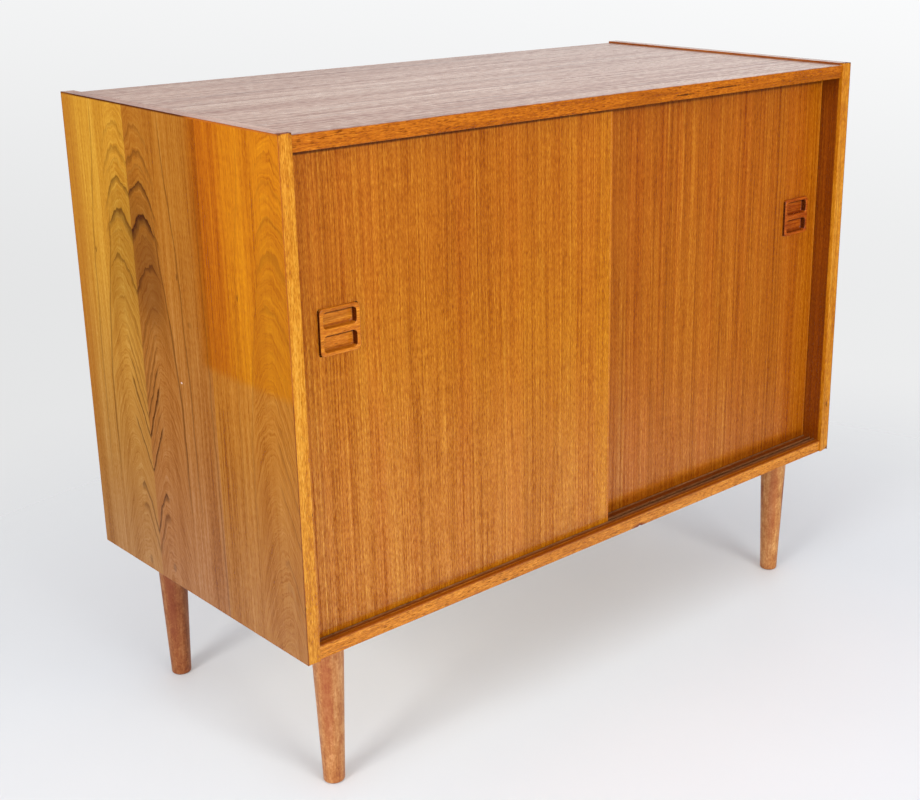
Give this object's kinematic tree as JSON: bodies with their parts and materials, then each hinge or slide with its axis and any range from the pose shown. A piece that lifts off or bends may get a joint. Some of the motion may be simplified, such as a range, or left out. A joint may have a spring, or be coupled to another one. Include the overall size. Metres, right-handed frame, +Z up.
{
  "type": "sliding door cabinet",
  "caption": "Low wooden cabinet on turned legs; overlapping doors slide sideways in tracks and are moved by recessed finger handles.",
  "frame": {"origin": "on the floor, below the middle of the cabinet", "axes": "+X to the right seen from the front, the doors face -Y, +Z up"},
  "size_m": [0.9, 0.433, 0.736],
  "materials": {
    "side_veneer": "figured teak veneer, satin",
    "top_veneer": "straight-grained teak veneer, satin",
    "door_veneer": "straight-grained teak veneer, satin",
    "light_strip": "solid teak edge strip, satin",
    "dark_strip": "dark edge strip, satin",
    "handle_teak": "solid teak, satin",
    "inner_board": "veneered board, satin",
    "back_board": "thin board, matt",
    "leg_wood": "turned stained hardwood, satin",
    "track_brown": "dark brown channel, matt",
    "dowel_beech": "beech, raw",
    "steel": "zinc plated",
    "brass": "turned brass"
  },
  "bodies": {
    "cabinet": {"left_side": "inner_board", "left_side_front_strip": "light_strip", "left_side_top_strip": "dark_strip", "left_side_outer_veneer": "side_veneer", "right_side": "inner_board", "right_side_front_strip": "light_strip", "right_side_top_strip": "dark_strip", "right_side_outer_veneer": "side_veneer", "top_panel": "inner_board", "bottom_panel": "inner_board", "centre_partition": "inner_board", "left_shelf": "inner_board", "right_shelf": "inner_board", "top_panel_front_strip": "light_strip", "bottom_panel_front_strip": "light_strip", "centre_partition_front_strip": "light_strip", "left_shelf_front_strip": "light_strip", "right_shelf_front_strip": "light_strip", "top_panel_veneer": "top_veneer", "back_panel": "back_board", "back_panel_screws": "steel", "leg_studs": "steel", "leg_insert_nuts": "steel", "left_shelf_pins": "brass", "right_shelf_pins": "brass", "carcass_dowels": "dowel_beech", "partition_dowels": "dowel_beech", "front_track": "track_brown", "rear_track": "track_brown", "leg_front_left": "leg_wood", "leg_front_right": "leg_wood", "leg_rear_left": "leg_wood", "leg_rear_right": "leg_wood"},
    "left_sliding_door": {"left_door": "door_veneer", "left_door_outer_strip": "light_strip", "left_door_meeting_strip": "light_strip", "left_handle": "handle_teak"},
    "right_sliding_door": {"right_door": "door_veneer", "right_door_outer_strip": "light_strip", "right_door_meeting_strip": "light_strip", "right_handle": "handle_teak"}
  },
  "joints": [
    {"name": "left_door_slide", "type": "slide", "parent": "cabinet", "child": "left_sliding_door", "axis": [1, 0, 0], "range_m": [0, 0.4236]},
    {"name": "right_door_slide", "type": "slide", "parent": "cabinet", "child": "right_sliding_door", "axis": [-1, 0, 0], "range_m": [0, 0.4236]}
  ]
}
